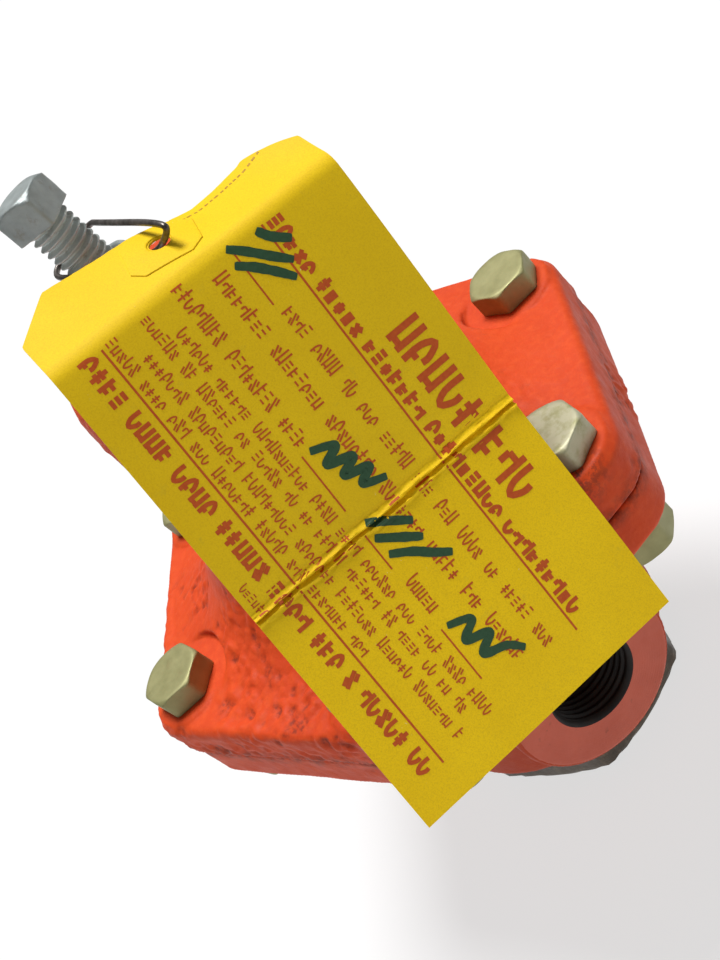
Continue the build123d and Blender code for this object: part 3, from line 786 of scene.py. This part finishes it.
def fold_profile(s):
    """Distance down the panel and height off it, with their slope, at s millimetres from the fold."""
    reach = FOLD_R * math.tan(HEADER_FOLD / 2)
    arc = FOLD_R * HEADER_FOLD
    if s >= reach:
        return s, 0.0, 0.0
    turned = (reach - s) / FOLD_R
    if s >= reach - arc:
        return reach - FOLD_R * math.sin(turned), -FOLD_R * (1 - math.cos(turned)), turned
    rest = (reach - s) - arc
    x = reach - FOLD_R * math.sin(HEADER_FOLD) - rest * math.cos(HEADER_FOLD)
    y = -FOLD_R * (1 - math.cos(HEADER_FOLD)) - rest * math.sin(HEADER_FOLD)
    return x, y, HEADER_FOLD


def crease_height(s, a):
    """The card was once folded across its middle: two crushed ridges with a cracked groove between."""
    d = s - CREASE - 0.45 * noise.noise(Vector((a * 0.13, 1.7, 0)))
    part = 0.62 + 0.30 * noise.noise(Vector((a * 0.09, 5.1, 0)))
    worn = 0.5 + 0.5 * noise.noise(Vector((a * 0.35, 8.3, 0)))
    first = (0.40 + 0.40 * worn) * max(0.0, 1 - abs(d + part) / 0.42)
    second = (0.55 - 0.30 * worn) * max(0.0, 1 - abs(d - part) / 0.36)
    groove = -0.62 * math.exp(-(d / 0.24) ** 2) - 0.22 * math.exp(-((d + 1.8) / 0.45) ** 2)
    crush = 0.42 * noise.noise(Vector((a * 0.8, s * 1.9, 4.2))) * math.exp(-(d / 1.6) ** 2)
    return first + second + groove + crush


def card_height(s, a):
    """Height off the ideal panel: the kink at the crease, slow warping, and the lifted header corners."""
    kink = -1.6 * max(0.0, 1 - abs(s - CREASE) / (PANEL_L - CREASE)) if s > 0 else 0.0
    warp = 0.35 * noise.noise(Vector((a * 0.035, s * 0.03, 2.2)))
    curl = 0.0
    if s < 0:
        far = min(1.0, -s / HEADER_L)
        curl = far ** 1.5 * float(np.interp(a, HEADER_EDGE_A, HEADER_EDGE_LIFT))
        off_hole = math.hypot(s + HOLE_FROM_FOLD, a - HOLE_ACROSS)
        curl += 0.8 * math.exp(-(off_hole / 6.5) ** 2)
    return kink + warp * min(1.0, (abs(s) + 2) / 12) + curl + (crease_height(s, a) if s > 20 else 0.0)


def card_point(s, a, above=0.0):
    x, y, turned = fold_profile(s)
    lift = card_height(s, a) + above
    along = x - lift * math.sin(turned)
    out = y + lift * math.cos(turned)
    return FOLD_MID + DOWN * along + OUT * out + ACROSS * a


def card_outline(s):
    """Half width of the card at s, with the header's corners cut off."""
    return CARD_W / 2 - max(0.0, CORNER_CLIP - HEADER_L - s)


def build_card(material):
    """Both faces and the rim of the folded card, cut finely at its fold and its crease."""
    fold, crease, step, columns = 3.2, 3.2, 1.4, 84
    stations = np.concatenate([
        np.linspace(-HEADER_L, -2.8, 26), np.arange(-2.8, fold, 0.5), np.arange(fold, CREASE - crease, step),
        np.arange(CREASE - crease, CREASE + crease, 0.2), np.arange(CREASE + crease, PANEL_L, step),
        [PANEL_L],
    ])
    stations = sorted(set(np.round(stations, 3)))
    bm = bmesh.new()
    flat = [[bm.verts.new((s, card_outline(s) * (2 * c / columns - 1), 0)) for c in range(columns + 1)]
            for s in stations]
    for row, after in zip(flat, flat[1:]):
        for c in range(columns):
            bm.faces.new([row[c], row[c + 1], after[c + 1], after[c]])
    cut_hole(bm, -HOLE_FROM_FOLD, HOLE_ACROSS, HOLE_R)
    nick_far_edge(bm)
    bmesh.ops.solidify(bm, geom=list(bm.faces), thickness=CARD_T)
    lowest = min(v.co.z for v in bm.verts)
    for v in bm.verts:
        s, a, z = v.co
        v.co = card_point(s, a, z - lowest - CARD_T) * MM
    bmesh.ops.recalc_face_normals(bm, faces=bm.faces)
    mesh = bpy.data.meshes.new("tag_card")
    bm.to_mesh(mesh)
    bm.free()
    card = finish_piece("tag_card", mesh, material, *CARD)
    mesh.set_sharp_from_angle(angle=math.radians(50))
    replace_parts(card, "instruction_tag")


def cut_hole(bm, s0, a0, radius):
    """Moves the nearest vertices onto the hole's circle and opens it."""
    inside = [v for v in bm.verts if math.hypot(v.co.x - s0, v.co.y - a0) < radius * 0.80]
    bmesh.ops.delete(bm, geom=inside, context="VERTS")
    rim = [v for v in bm.verts if v.is_boundary and math.hypot(v.co.x - s0, v.co.y - a0) < radius * 2]
    for v in rim:
        d = Vector((v.co.x - s0, v.co.y - a0)).normalized() * radius
        v.co.x = s0 + d.x
        v.co.y = a0 + d.y


def nick_far_edge(bm):
    """The small tear where the wire has worked at the header's far edge, and an uneven trimmed edge."""
    for v in bm.verts:
        if v.co.x < -HEADER_L + 0.01:
            v.co.x += 0.12 + 0.12 * noise.noise(Vector((v.co.y * 0.6, 3.1, 0)))
            v.co.x += 1.5 * math.exp(-((v.co.y - 3.4) / 0.9) ** 2)


def strip(verts, faces, points, half_width, above, cuts=3):
    """A flat ribbon that follows points (s, a) over the card; half_width is a number or one per point."""
    start = len(verts)
    for k, (s, a) in enumerate(points):
        before = points[max(0, k - 1)]
        after = points[min(len(points) - 1, k + 1)]
        ds, da = after[0] - before[0], after[1] - before[1]
        size = math.hypot(ds, da) or 1.0
        half = half_width[k] if isinstance(half_width, list) else half_width
        ns, na = -da / size * half, ds / size * half
        for cut in range(cuts + 1):
            side = 2 * cut / cuts - 1
            verts.append(card_point(s + ns * side, a + na * side, above))
    faces += grid_faces(len(points), cuts + 1, closed=False, start=start)


def bar(verts, faces, s0, s1, a0, a1, above):
    """A printed rectangle, cut finely enough to follow the card."""
    steps = max(1, int((s1 - s0) / 0.5))
    points = [(s0 + (s1 - s0) * k / steps, (a0 + a1) / 2) for k in range(steps + 1)]
    strip(verts, faces, points, abs(a1 - a0) / 2, above)


def placeholder(verts, faces, s, width, a, height, stroke, kind):
    """One mark that stands where a printed character would: strokes of no alphabet, in a unit box."""
    for line in MARKS[kind]:
        points = [(s + x * width, a + (0.5 - y) * height) for x, y in line]
        bend = smooth_line(points, 3) if len(points) > 2 else points
        strip(verts, faces, bend, stroke / 2, PRINT_ABOVE)


# Placeholder marks, each a list of strokes through (along, down) points of a unit box
MARKS = (
    (((0.12, 0.0), (0.12, 1.0)), ((0.12, 0.32), (0.9, 0.32)), ((0.12, 0.72), (0.75, 0.72))),
    (((0.0, 0.15), (0.9, 0.15)), ((0.0, 0.5), (0.9, 0.5)), ((0.0, 0.85), (0.9, 0.85))),
    (((0.1, 0.0), (0.1, 0.62), (0.5, 0.95), (0.9, 0.62), (0.9, 0.35)),),
    (((0.1, 1.0), (0.1, 0.4), (0.5, 0.05), (0.9, 0.4), (0.9, 0.65)), ((0.1, 0.7), (0.55, 0.7))),
    (((0.45, 0.0), (0.45, 1.0)), ((0.0, 0.35), (0.95, 0.35)), ((0.0, 0.65), (0.95, 0.65))),
    (((0.05, 0.05), (0.95, 0.95)), ((0.05, 0.55), (0.5, 1.0)), ((0.55, 0.0), (0.95, 0.4))),
    (((0.9, 0.0), (0.9, 1.0)), ((0.1, 0.25), (0.9, 0.25)), ((0.1, 0.25), (0.1, 0.6))),
    (((0.1, 0.0), (0.1, 1.0)), ((0.85, 0.0), (0.85, 1.0)), ((0.1, 0.85), (0.85, 0.85))),
)


PRINT_ABOVE = 0.035
MARKER_ABOVE = 0.06
MARKER_HALF = 0.86


def print_row(verts, faces, rng, a, height, advance, stroke, s0, s1, word, gap, skip):
    """Placeholder marks in word-like groups from s0 to s1; skip lists stretches left blank."""
    s = s0
    while s < s1 - advance:
        for _ in range(rng.choice(word)):
            blocked = [end for start, end in skip if start - advance < s < end]
            if blocked:
                s = blocked[0] + gap * 0.5
                break
            if s > s1 - advance * 0.8:
                break
            small = rng.random() > 0.4 and height < 3.2
            size = height * (0.74 if small else 1.0)
            width = advance * 0.72
            middle = a - (height - size) / 2
            placeholder(verts, faces, s, width, middle, size, stroke, rng.randrange(len(MARKS)))
            s += advance
        s += gap


# Rows across the card: place from its middle, letter height, advance, stroke, first and last place,
# word lengths, the gap between words and the stretches left blank.
ROWS = (
    (21.9, 7.0, 4.5, 1.25, 30.0, 68.0, (4, 5), 2.6, ()),
    (15.3, 3.1, 2.35, 0.80, 2.2, 92.6, (8, 7, 3, 9, 5), 1.5, ()),
    (7.8, 3.1, 1.50, 0.34, 15.5, 92.4, (4, 4, 3, 5, 2), 1.9, ()),
    (2.0, 3.1, 1.62, 0.36, 4.2, 89.6, (7, 7, 8, 5, 3), 2.1, ()),
    (-4.6, 3.1, 1.50, 0.34, 1.4, 92.0, (8, 8, 5), 2.0, ((36.4, 49.2), (53.4, 62.2), (75.6, 87.8))),
    (-8.9, 2.5, 1.42, 0.30, 7.4, 93.4, (4, 3, 4, 10, 6), 1.5, ()),
    (-12.0, 2.5, 1.42, 0.30, 2.2, 92.4, (2, 6, 5, 2, 4), 1.5, ()),
    (-15.6, 2.5, 1.42, 0.30, 7.2, 93.4, (3, 6, 7, 9), 1.5, ()),
    (-18.9, 2.5, 1.42, 0.30, 1.6, 71.0, (5, 7, 4, 3), 1.5, ()),
    (-24.0, 3.3, 2.45, 0.80, 1.8, 95.0, (1, 1, 4, 5, 3, 4, 7), 1.7, ()),
    (-28.0, 1.9, 1.15, 0.24, 46.8, 54.4, (6,), 1.0, ()),
)
# Printed rules: place, first, last, half width
RULES = (
    (13.0, 2.0, 92.8, 0.20), (6.2, 1.2, 13.6, 0.16), (-20.9, 2.0, 94.0, 0.20),
    (-6.2, 36.4, 48.6, 0.16), (-6.2, 53.6, 61.8, 0.16), (-6.2, 75.8, 87.4, 0.16),
)
# Marker strokes through (s, a) points: plain ticks, hooks and waves
MARKER = (
    ((1.6, 5.6), (4.0, 8.2), (7.0, 11.0), (9.8, 13.8)),
    ((4.6, 5.0), (6.6, 7.4), (9.4, 10.0), (12.4, 12.4)),
    ((2.2, 11.6), (4.4, 13.0), (6.8, 15.8)),
    ((36.6, -4.6), (38.6, -0.4), (40.2, -3.6), (42.0, 0.8), (43.6, -2.4), (45.2, 2.0), (46.8, -0.8),
     (48.6, 3.4)),
    ((52.4, -4.8), (54.8, -1.4), (57.6, 2.2)),
    ((55.6, -5.2), (58.2, -1.8), (61.0, 1.8)),
    ((59.4, -5.0), (61.8, -1.4), (64.4, 1.4), (66.6, 4.2)),
    ((76.0, -5.0), (78.0, -0.8), (80.2, -4.0), (82.0, 0.2), (84.2, -3.0), (86.0, 1.2), (88.6, 3.6)),
)


def smooth_line(points, per_span=10):
    """Catmull-Rom points through a hand-drawn stroke."""
    out = []
    for k in range(len(points) - 1):
        p0, p1 = points[max(0, k - 1)], points[k]
        p2, p3 = points[k + 1], points[min(len(points) - 1, k + 2)]
        for i in range(per_span):
            t = i / per_span
            out.append(tuple(
                0.5 * (2 * b + (c - a) * t + (2 * a - 5 * b + 4 * c - d) * t * t
                       + (3 * b - a - 3 * c + d) * t ** 3)
                for a, b, c, d in zip(p0, p1, p2, p3)
            ))
    out.append(points[-1])
    return out


def build_print(red, green, brown):
    rng = random.Random(11)
    verts, faces = [], []
    for row in ROWS:
        print_row(verts, faces, rng, *row)
    for a, s0, s1, half in RULES:
        bar(verts, faces, s0, s1, a - half, a + half, PRINT_ABOVE)
    make("tag_print", verts, faces, red, *CARD)
    verts, faces = [], []
    across = 3.0
    while across < 24:
        step = rng.uniform(0.8, 1.7)
        bar(verts, faces, -15.5, -14.9, across, across + step * 0.6, PRINT_ABOVE)
        across += step
    make("tag_edge_print", verts, faces, brown, *CARD)
    verts, faces = [], []
    for stroke in MARKER:
        line = smooth_line(stroke, 16)
        last = len(line) - 1
        widths = [
            MARKER_HALF * (0.62 + 0.38 * math.sin(math.pi * k / last) ** 0.35)
            + 0.10 * noise.noise(Vector((k * 0.25, stroke[0][0], 0))) for k in range(last + 1)
        ]
        strip(verts, faces, line, widths, MARKER_ABOVE, cuts=8)
    make("tag_marker", verts, faces, green, *CARD)


PATCH_REACH = 6.9
PATCH_CLIP = 2.4
PATCH_T = 0.25
PATCH_TURN = math.radians(-14)
# From the patch's hole to its rim: share of the way out, and height in thicknesses
PATCH_PROFILE = (
    (0.0, 0.02), (0.0, 0.8), (0.08, 1.0), (0.4, 1.0), (0.75, 1.0), (0.97, 1.0), (0.99, 0.9), (1.0, 0.75),
    (1.0, -0.1),
)


def build_patch(material):
    """The reinforcing patch round the hole, a clipped square with its edge pressed softly into the card."""
    hole_r, side, steps = HOLE_R + 0.25, PATCH_REACH - PATCH_CLIP, 12
    corners = [(PATCH_REACH, -side), (PATCH_REACH, side), (side, PATCH_REACH), (-side, PATCH_REACH),
               (-PATCH_REACH, side), (-PATCH_REACH, -side), (-side, -PATCH_REACH), (side, -PATCH_REACH)]
    outline = []
    for (x0, y0), (x1, y1) in zip(corners, corners[1:] + corners[:1]):
        outline += [(x0 + (x1 - x0) * k / steps, y0 + (y1 - y0) * k / steps) for k in range(steps)]
    verts = []
    for share, height in PATCH_PROFILE:
        for x, y in outline:
            angle = math.atan2(y, x)
            hole = (hole_r * math.cos(angle), hole_r * math.sin(angle))
            px = hole[0] + (x - hole[0]) * share
            py = hole[1] + (y - hole[1]) * share
            up = py * math.cos(PATCH_TURN) + px * math.sin(PATCH_TURN)
            across = px * math.cos(PATCH_TURN) - py * math.sin(PATCH_TURN)
            verts.append(card_point(-HOLE_FROM_FOLD - up, HOLE_ACROSS + across, PATCH_T * height))
    faces = grid_faces(len(PATCH_PROFILE), len(outline))
    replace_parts(make("tag_hole_patch", verts, faces, material, *CARD), "tag_patch")


LOOP_R = 5.9
LOOP_Z = 172.6
WIRE_R = 0.6


def on_header(across, up, height):
    """A point over the header: across it, up it from the fold, and off its face."""
    up_way = -DOWN * math.cos(HEADER_FOLD) - OUT * math.sin(HEADER_FOLD)
    out_way = OUT * math.cos(HEADER_FOLD) - DOWN * math.sin(HEADER_FOLD)
    return FOLD_MID + ACROSS * across + up_way * up + out_way * height


def build_wire(material):
    """One stiff wire: round the screw, over the header, down its hole and back beneath."""
    route = [
        Vector((-LOOP_R, 0, LOOP_Z)), Vector((-LOOP_R, LOOP_R, LOOP_Z + 0.3)),
        Vector((1.0, LOOP_R + 0.3, LOOP_Z + 1.0)), on_header(0.9, HOLE_FROM_FOLD - 3.6, 5.4),
        on_header(0.5, HOLE_FROM_FOLD - 2.9, 2.9), on_header(-2.5, HOLE_FROM_FOLD + 2.7, -2.0),
        Vector((1.0, -LOOP_R - 0.3, LOOP_Z - 1.2)), Vector((-LOOP_R, -LOOP_R, LOOP_Z - 0.4)),
        Vector((-LOOP_R, -0.5, LOOP_Z)),
    ]
    curve = bpy.data.curves.new("tag_wire_bend", "CURVE")
    curve.dimensions = "3D"
    spline = curve.splines.new("NURBS")
    spline.points.add(len(route) - 1)
    for point, place in zip(spline.points, route):
        point.co = (*(place * MM), 1)
    spline.order_u = 3
    spline.use_endpoint_u = True
    spline.resolution_u = 14
    curve.bevel_depth = WIRE_R * MM
    curve.bevel_resolution = 5
    curve.use_fill_caps = True
    holder = add_object("tag_wire_curve", curve)
    graph = bpy.context.evaluated_depsgraph_get()
    mesh = bpy.data.meshes.new_from_object(holder.evaluated_get(graph))
    bpy.data.objects.remove(holder)
    wire = finish_piece("tag_wire_bend", mesh, material, "tag_wire", "dark_wire")
    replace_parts(wire, "tag_wire")


# ---------------- pieces kept from the CAD

# Nodes, and the name, two colours, metallic and roughness of their material
INNER = (
    (("seat_ring", "piston", "strainer_screen", "pusher_post"),
     "bronze", (0.42, 0.25, 0.10), (0.55, 0.36, 0.17), 1.0, 0.34),
    (("pressure_plate", "spring_button", "disc_screw"),
     "plain_steel", (0.28, 0.28, 0.28), (0.42, 0.42, 0.42), 1.0, 0.38),
    (("pressure_spring", "piston_spring"),
     "spring_steel", (0.12, 0.12, 0.125), (0.22, 0.22, 0.23), 1.0, 0.33),
    (("diaphragm",), "phosphor_bronze", (0.45, 0.27, 0.12), (0.60, 0.38, 0.19), 1.0, 0.4),
    (("diaphragm_gasket", "plug_gasket", "seat_gasket"),
     "gasket_fibre", (0.055, 0.050, 0.045), (0.12, 0.11, 0.10), 0.0, 0.8),
    (("seat_disc",), "disc_rubber", (0.012, 0.012, 0.012), (0.03, 0.03, 0.03), 0.0, 0.6),
)


def paint_cad():
    """Gives the CAD nodes that stay visible their materials."""
    for nodes, *look in INNER:
        material = inner_metal(*look)
        for name in nodes:
            mesh = frame["nodes"][name].data
            dress(mesh, material)
            mesh.set_sharp_from_angle(angle=math.radians(30))


# ---------------- camera, light and floor

# The camera stands where the photo's did; its axes are right, down and forward
CAMERA_LENS = 43.24
CAMERA_PLACE = (0.21849, -0.01113, 0.23108)
CAMERA_RIGHT = Vector((0.44381, 0.63121, -0.63609))
CAMERA_DOWN = Vector((0.30544, -0.77387, -0.55483))
CAMERA_FORWARD = Vector((-0.84246, 0.05195, -0.53624))
FLOOR_REACH = 6.0
FLOOR_LEVEL = cad_box[0].z - 0.0005
DOME_R = FLOOR_REACH * 0.95
WORLD_STRENGTH = 0.18
SUN_STRENGTH = 4.2
SUN_SPREAD = math.radians(24)
SUN_WAY = Vector((0.28, -0.16, -1.0))
FILL_POWER = 1.2
FILL_SIZE = 0.8
FILL_PLACE = Vector((0.9, -0.7, 0.7))
FILL_TARGET = Vector((0, 0, 0.1))


def build_camera():
    camera = add_object("camera", bpy.data.cameras.new("camera"))
    camera.data.sensor_width = 36
    camera.data.lens = CAMERA_LENS
    camera.data.clip_start = 0.01
    camera.data.clip_end = 100
    turned = Matrix((CAMERA_RIGHT, -CAMERA_DOWN, -CAMERA_FORWARD)).transposed().to_4x4()
    camera.matrix_world = Matrix.Translation(CAMERA_PLACE) @ turned
    bpy.context.scene.camera = camera


def add_light(name, kind, energy, way):
    light = add_object(name, bpy.data.lights.new(name, kind))
    light.data.energy = energy
    light.rotation_mode = "QUATERNION"
    light.rotation_quaternion = way.to_track_quat("-Z", "Y")
    return light


def add_stage(name, verts, faces, material):
    """Part of the set, in metres, which no piece of the valve belongs to."""
    stage = add_object(name, bpy.data.meshes.new(name))
    stage.data.from_pydata(verts, [], faces)
    stage.data.materials.append(material)
    return stage


def build_backdrop():
    """A white dome that ends the view past the floor; it neither lights nor shades the object."""
    rows, columns = 12, 48
    verts = []
    for r in range(rows):
        rise = 0.5 * math.pi * r / rows
        width, up = DOME_R * math.cos(rise), DOME_R * math.sin(rise)
        verts += [(width * math.cos(TAU * c / columns), width * math.sin(TAU * c / columns), FLOOR_LEVEL + up)
                  for c in range(columns)]
    faces = grid_faces(rows, columns) + [tuple(range((rows - 1) * columns, rows * columns))]
    dome = add_stage("backdrop", verts, faces, self_lit("backdrop_white", 0.97, 0.0, 1.0, 0.0))
    dome.visible_diffuse = False
    dome.visible_glossy = False
    dome.visible_shadow = False


def build_studio():
    signs = ((-1, -1), (1, -1), (1, 1), (-1, 1))
    corners = [(x * FLOOR_REACH, y * FLOOR_REACH, FLOOR_LEVEL) for x, y in signs]
    add_stage("floor", corners, [(0, 1, 2, 3)], self_lit("pale_floor", 0.66, 0.24, 0.85, 0.1))
    build_backdrop()
    world = bpy.data.worlds.new("studio")
    bpy.context.scene.world = world
    world.use_nodes = True
    background = world.node_tree.nodes["Background"]
    background.inputs["Color"].default_value = (1, 1, 1, 1)
    background.inputs["Strength"].default_value = WORLD_STRENGTH
    fill = add_light("fill", "AREA", FILL_POWER, FILL_TARGET - FILL_PLACE)
    fill.data.shape = "DISK"
    fill.data.size = FILL_SIZE
    fill.location = FILL_PLACE
    add_light("key", "SUN", SUN_STRENGTH, SUN_WAY).data.angle = SUN_SPREAD


# ---------------- the valve

def build_valve():
    red = enamel()
    cast_surface("body", "valve_body_casting", red)
    cast_surface("spring_chamber", "spring_chamber_casting", red)
    dull = dull_enamel()
    bore = bore_iron_painted_shade()
    for side, end in ((1, "outlet"), (-1, "inlet")):
        port_thread(side, end, bore)
        port_face(side, end, dull)
    build_fasteners(plated_steel())
    # Painted light: the thread's zinc is a lighter, less metallic copy of the head's zinc.
    build_screw(zinc_steel("zinc_steel", (0.23, 0.26, 0.255), (0.32, 0.355, 0.35), 0.4),
                zinc_steel("zinc_thread_painted_light", (0.42, 0.46, 0.44), (0.54, 0.59, 0.57), 0.15))
    build_plug(oiled_iron())
    card = card_stock()
    build_card(card)
    build_patch(card)
    build_print(ink("tag_red_ink", (0.50, 0.070, 0.008), (0.60, 0.11, 0.012), 0.6),
                ink("green_marker", (0.022, 0.070, 0.030), (0.035, 0.095, 0.045), 0.5),
                ink("tag_brown_ink", (0.40, 0.20, 0.012), (0.52, 0.30, 0.014), 0.6))
    build_wire(dark_wire())
    paint_cad()


bpy.context.scene.view_settings.view_transform = "Standard"
build_camera()
build_studio()
build_valve()
